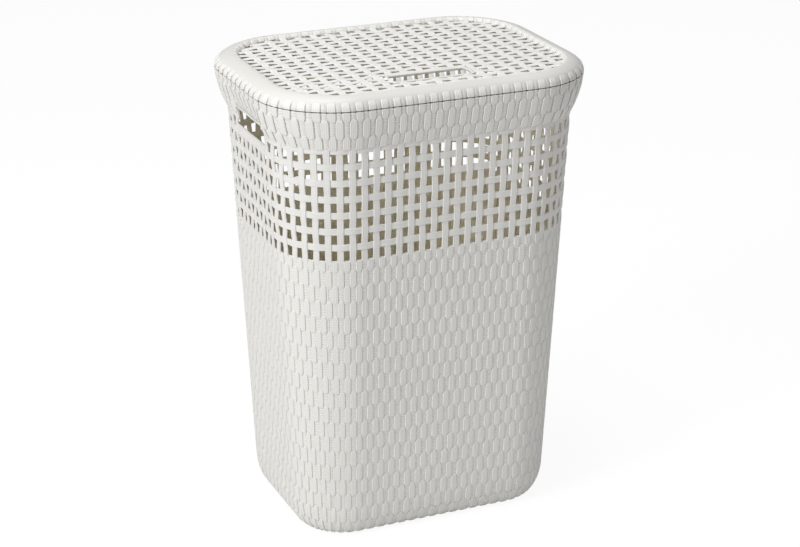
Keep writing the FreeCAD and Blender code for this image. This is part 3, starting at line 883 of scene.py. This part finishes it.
class HAMPER_OT_panel(bpy.types.Operator):
    """Weave the lid's panel"""

    bl_idname = "hamper.panel"
    bl_label = "Lid Panel"

    def execute(self, context):
        sizes = context.scene.hamper_sizes
        half_width, half_depth, radius = PANEL + 1.0 * MM
        self.weave("lid_strips_across", sizes.panel_strip_x, 0, PANEL_PITCH_Y, PANEL_PITCH_X,
                   half_width, half_depth, radius, 1)
        self.weave("lid_strips_lengthwise", sizes.panel_strip_y, 1, PANEL_PITCH_X, PANEL_PITCH_Y,
                   half_depth, half_width, radius, -1)
        return {"FINISHED"}

    def weave(self, name, width, axis, pitch, cross_pitch, half_length, half_span, radius, sign):
        """Parallel strips that run along one axis and cross the others in a plain weave."""
        runs = []
        middle = PANEL_SHIFT if axis == 1 else 0.0
        count = math.ceil(half_span / pitch)
        for index in range(-count, count + 1):
            offset = (index + (0.5 if axis == 0 else 0.0)) * pitch
            if abs(offset) + width * 0.3 > half_span:
                continue
            into_corner = max(0.0, abs(offset) - (half_span - radius))
            reach = half_length - radius + math.sqrt(radius ** 2 - into_corner ** 2)
            runs += self.split(axis, offset, reach, index, middle)
        runs = np.array(runs)
        longest = np.max(runs[:, 2] - runs[:, 1])
        along = int(longest / cross_pitch * PANEL_STEPS)

        def centre_line(number, part, side, lift):
            offset, low, high, index = (runs[number, k] for k in range(4))
            place = low + (high - low) * part
            shift = 0.0 if axis == 0 else 0.5
            crossed = place if axis == 0 else place - PANEL_SHIFT
            wave = np.cos(math.pi * (crossed / cross_pitch + shift + index)) * sign
            z = PANEL_Z - PANEL_DEPTH + wave * PANEL_RELIEF + lift * PANEL_HALF
            level = offset + side * width / 2
            if axis == 0:
                return np.stack([place, level + PANEL_SHIFT, z], axis=1)
            return np.stack([level, place, z], axis=1)

        mesh = strip_mesh(name, len(runs), along, centre_line)
        make_object(name, mesh, "lid", ("lid_panel",), "panel_painted_light_plastic")

    def split(self, axis, offset, reach, index, middle):
        """Runs of one strip, broken where it would cross the finger slot."""
        slot_x = SLOT_HALF[0] + SLOT_BORDER - 1.5 * MM
        if axis == 0 and abs(offset + PANEL_SHIFT - SLOT_Y) < SLOT_REACH:
            return [(offset, -reach, -slot_x, index), (offset, slot_x, reach, index)]
        if axis == 1 and abs(offset) < slot_x + 2 * MM:
            return [(offset, middle - reach, SLOT_Y - SLOT_REACH, index),
                    (offset, SLOT_Y + SLOT_REACH, middle + reach, index)]
        return [(offset, middle - reach, middle + reach, index)]


class HAMPER_OT_slot(bpy.types.Operator):
    """Make the finger slot's border and grille"""

    bl_idname = "hamper.slot"
    bl_label = "Finger Slot"

    def execute(self, context):
        self.border()
        self.grille()
        return {"FINISHED"}

    def border(self):
        """Smooth rounded border: a half-round section carried round the slot."""
        half = SLOT_BORDER / 2
        length = SLOT_HALF[0] + half
        depth = SLOT_HALF[1] + half
        radius = SLOT_RADIUS + half
        around_steps, section_steps = 128, 12

        def place(number, step_across, step_along):
            angle = 2 * math.pi * step_across / around_steps
            mid = (np.floor(step_across * 4 / around_steps) % 4 + 0.5) * math.pi / 2
            centre_x = np.sign(np.cos(mid)) * (length - radius)
            centre_y = np.sign(np.sin(mid)) * (depth - radius) + SLOT_Y
            around_section = 2 * math.pi * step_along / section_steps
            side = np.cos(around_section)
            rise = np.sin(around_section)
            out = radius + half * np.sign(side) * np.abs(side) ** 0.6
            height = np.where(rise >= 0, 1.0 * MM, 2.4 * MM)
            z = PANEL_Z + height * np.sign(rise) * np.abs(rise) ** 0.6
            x = centre_x + out * np.cos(angle)
            return np.stack([x, centre_y + out * np.sin(angle), z], axis=1)

        bm, mesh = woven_mesh("finger_slot_border", 1, around_steps, section_steps, place)
        finish_mesh(bm, mesh, closed=True, sharp=60)
        make_object("finger_slot_border", mesh, "lid", ("finger_slot_frame",),
                    "plain_plastic")

    def grille(self):
        """Row of bars on a rail, hung under the slot's rear edge and leaning forwards."""
        low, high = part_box("finger_slot_grille")
        middle_y = SLOT_Y + SLOT_HALF[1] + GRILLE_THICKNESS / 2
        bm = bmesh.new()
        boxes = [((index - (GRILLE_BARS - 1) / 2) * GRILLE_PITCH, (low[2] + high[2]) / 2,
                  GRILLE_BAR_WIDTH, high[2] - low[2]) for index in range(GRILLE_BARS)]
        boxes.append((0.0, low[2] + GRILLE_THICKNESS / 2, GRILLE_PITCH * (GRILLE_BARS - 1),
                      GRILLE_THICKNESS * 0.9))
        for x, z, width, height in boxes:
            made = bmesh.ops.create_cube(bm, size=1.0)
            bmesh.ops.scale(bm, verts=made["verts"], vec=(width, GRILLE_THICKNESS, height))
            bmesh.ops.translate(bm, verts=made["verts"], vec=(x, middle_y, z))
        bmesh.ops.bevel(bm, geom=bm.edges, offset=0.5 * MM, affect="EDGES", segments=2,
                        profile=0.5, material=-1)
        for vert in bm.verts:
            vert.co.y -= (high[2] - vert.co.z) * GRILLE_LEAN
        mesh = bpy.data.meshes.new("finger_slot_bars")
        finish_mesh(bm, mesh, closed=True, sharp=40)
        make_object("finger_slot_bars", mesh, "lid", ("finger_slot_grille",),
                    "plain_plastic")


class HAMPER_OT_carried(bpy.types.Operator):
    """Give the parts that keep their shape their finish"""

    bl_idname = "hamper.carried"
    bl_label = "Carried Parts"

    def execute(self, context):
        finishes = {
            # the bottom plate takes a painted warm shade
            "base_floor": "bottom_painted_shade_plastic",
            "hinge_pin_left": "pin_plastic",
            "hinge_pin_right": "pin_plastic",
        }
        for name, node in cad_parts.items():
            material = bpy.data.materials[finishes.get(name, "plain_plastic")]
            for slot in node.material_slots:
                slot.material = material
        return {"FINISHED"}


class HAMPER_OT_stage(bpy.types.Operator):
    """Set up the floor, the light and the camera"""

    bl_idname = "hamper.stage"
    bl_label = "Stage"

    def execute(self, context):
        self.floor(context)
        self.world(context)
        for light in LIGHTS:
            self.lamp(context, *light)
        self.camera(context)
        return {"FINISHED"}

    def floor(self, context):
        """Large floor that takes soft shadows and is nearly white to the camera."""
        finish = Finish("stage_floor")
        seen = finish.node("ShaderNodeLightPath", {}, {}, "Is Camera Ray")
        lit = finish.node("ShaderNodeBsdfDiffuse", {}, {"Color": (0.86, 0.86, 0.86, 1.0)})
        white = finish.node(
            "ShaderNodeEmission", {}, {"Color": (1.0, 1.0, 1.0, 1.0), "Strength": 1.06})
        mixed = finish.node("ShaderNodeMixShader", {}, {"Fac": seen * 0.86, 1: lit, 2: white})
        material = finish.done(mixed)
        bm = bmesh.new()
        bmesh.ops.create_grid(bm, x_segments=2, y_segments=2, size=8.0)
        mesh = bpy.data.meshes.new("floor")
        bm.to_mesh(mesh)
        bm.free()
        mesh.materials.append(material)
        floor = bpy.data.objects.new("stage_floor", mesh)
        context.scene.collection.objects.link(floor)

    def world(self, context):
        """White background to the camera and a softer white light on everything else."""
        world = bpy.data.worlds.new("stage_world")
        context.scene.world = world
        world.use_nodes = True
        tree = world.node_tree
        tree.nodes.clear()
        path = tree.nodes.new("ShaderNodeLightPath")
        seen = tree.nodes.new("ShaderNodeMath")
        seen.operation = "MAXIMUM"
        tree.links.new(path.outputs["Is Camera Ray"], seen.inputs[0])
        tree.links.new(path.outputs["Is Transmission Ray"], seen.inputs[1])
        ambient = tree.nodes.new("ShaderNodeBackground")
        ambient.inputs["Color"].default_value = (1.0, 1.0, 1.0, 1.0)
        ambient.inputs["Strength"].default_value = AMBIENT
        white = tree.nodes.new("ShaderNodeBackground")
        white.inputs["Color"].default_value = (1.0, 1.0, 1.0, 1.0)
        white.inputs["Strength"].default_value = 1.0
        mixed = tree.nodes.new("ShaderNodeMixShader")
        output = tree.nodes.new("ShaderNodeOutputWorld")
        tree.links.new(seen.outputs[0], mixed.inputs[0])
        tree.links.new(ambient.outputs[0], mixed.inputs[1])
        tree.links.new(white.outputs[0], mixed.inputs[2])
        tree.links.new(mixed.outputs[0], output.inputs["Surface"])

    def lamp(self, context, name, place, size, power):
        """Round area light, aimed at the hamper."""
        data = bpy.data.lights.new(name, "AREA")
        data.shape = "DISK"
        data.size = size
        data.energy = power
        lamp = bpy.data.objects.new(name, data)
        context.scene.collection.objects.link(lamp)
        lamp.location = place
        aim = Vector(LIGHT_AIM) - Vector(place)
        lamp.rotation_euler = aim.to_track_quat("-Z", "Y").to_euler()

    def camera(self, context):
        """Camera on a sphere round its aim."""
        settings = context.scene.hamper_stage
        a, e = settings.azimuth, settings.elevation
        back = Vector((math.sin(a) * math.cos(e), -math.cos(a) * math.cos(e), math.sin(e)))
        right = Vector((math.cos(a), math.sin(a), 0.0))
        up = back.cross(right)
        target = Vector((0.0, 0.0, CAMERA_AIM_Z)) + right * CAMERA_RIGHT + up * CAMERA_UP
        data = bpy.data.cameras.new("camera")
        data.lens = settings.lens
        data.sensor_width = 36.0
        data.sensor_fit = "HORIZONTAL"
        camera = bpy.data.objects.new("camera", data)
        context.scene.collection.objects.link(camera)
        camera.location = target + back * settings.distance
        camera.rotation_euler = (-back).to_track_quat("-Z", "Y").to_euler()
        context.scene.camera = camera
        context.scene.view_settings.view_transform = "Standard"


class HAMPER_PT_panel(bpy.types.Panel):
    """Lists the steps that build the hamper"""

    bl_idname = "HAMPER_PT_panel"
    bl_label = "Laundry Hamper"
    bl_space_type = "VIEW_3D"
    bl_region_type = "UI"
    bl_category = "Hamper"

    def draw(self, context):
        layout = self.layout
        for operator in BUILD_ORDER:
            layout.operator(operator.bl_idname)
        for settings in (context.scene.hamper_sizes, context.scene.hamper_finish,
                         context.scene.hamper_stage):
            column = layout.column(align=True)
            for name in type(settings).__annotations__:
                column.prop(settings, name)


SETTINGS = (HamperWeaveSizes, HamperFinish, HamperStageSettings)
BUILD_ORDER = (
    HAMPER_OT_finishes, HAMPER_OT_strips, HAMPER_OT_bands, HAMPER_OT_bars, HAMPER_OT_collar,
    HAMPER_OT_rim, HAMPER_OT_panel, HAMPER_OT_slot, HAMPER_OT_carried, HAMPER_OT_stage,
)


def register():
    for cls in SETTINGS + BUILD_ORDER + (HAMPER_PT_panel,):
        bpy.utils.register_class(cls)
    bpy.types.Scene.hamper_sizes = PointerProperty(type=HamperWeaveSizes)
    bpy.types.Scene.hamper_finish = PointerProperty(type=HamperFinish)
    bpy.types.Scene.hamper_stage = PointerProperty(type=HamperStageSettings)


def unregister():
    del bpy.types.Scene.hamper_stage
    del bpy.types.Scene.hamper_finish
    del bpy.types.Scene.hamper_sizes
    for cls in reversed(SETTINGS + BUILD_ORDER + (HAMPER_PT_panel,)):
        bpy.utils.unregister_class(cls)


def main():
    register()
    for operator in BUILD_ORDER:
        group, name = operator.bl_idname.split(".")
        getattr(getattr(bpy.ops, group), name)()


if __name__ == "__main__":
    main()
